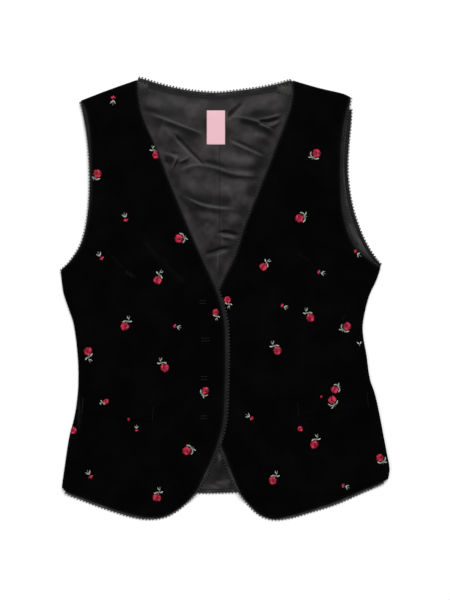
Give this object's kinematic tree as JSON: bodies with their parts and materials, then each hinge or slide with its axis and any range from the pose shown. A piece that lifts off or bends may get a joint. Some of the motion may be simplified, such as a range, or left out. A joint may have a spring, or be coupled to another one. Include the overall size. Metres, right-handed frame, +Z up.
{
  "type": "waistcoat",
  "caption": "Black velvet waistcoat with embroidered rosebuds, picot braid edges, welt pockets and a charcoal satin back lining, laid flat with the fronts lapped.",
  "frame": {"origin": "centre of the laid garment's outline, on the surface that it lies on", "axes": "+Z up off the surface, +Y towards the neck, +X towards the wearer's left"},
  "size_m": [0.4209, 0.5649, 0.0092],
  "materials": {
    "velvet": "matte",
    "satin": "satin",
    "braid": "matte",
    "label": "satin"
  },
  "bodies": {
    "root": {"back": "velvet", "back_lining": "satin", "left_front": "velvet", "right_front": "velvet", "left_welt": "velvet", "right_welt": "velvet", "left_front_braid": "braid", "right_front_braid": "braid", "left_front_armhole_braid": "braid", "right_front_armhole_braid": "braid", "left_back_armhole_braid": "braid", "right_back_armhole_braid": "braid", "back_neck_braid": "braid", "back_hem_braid": "braid", "label": "label"}
  },
  "joints": []
}
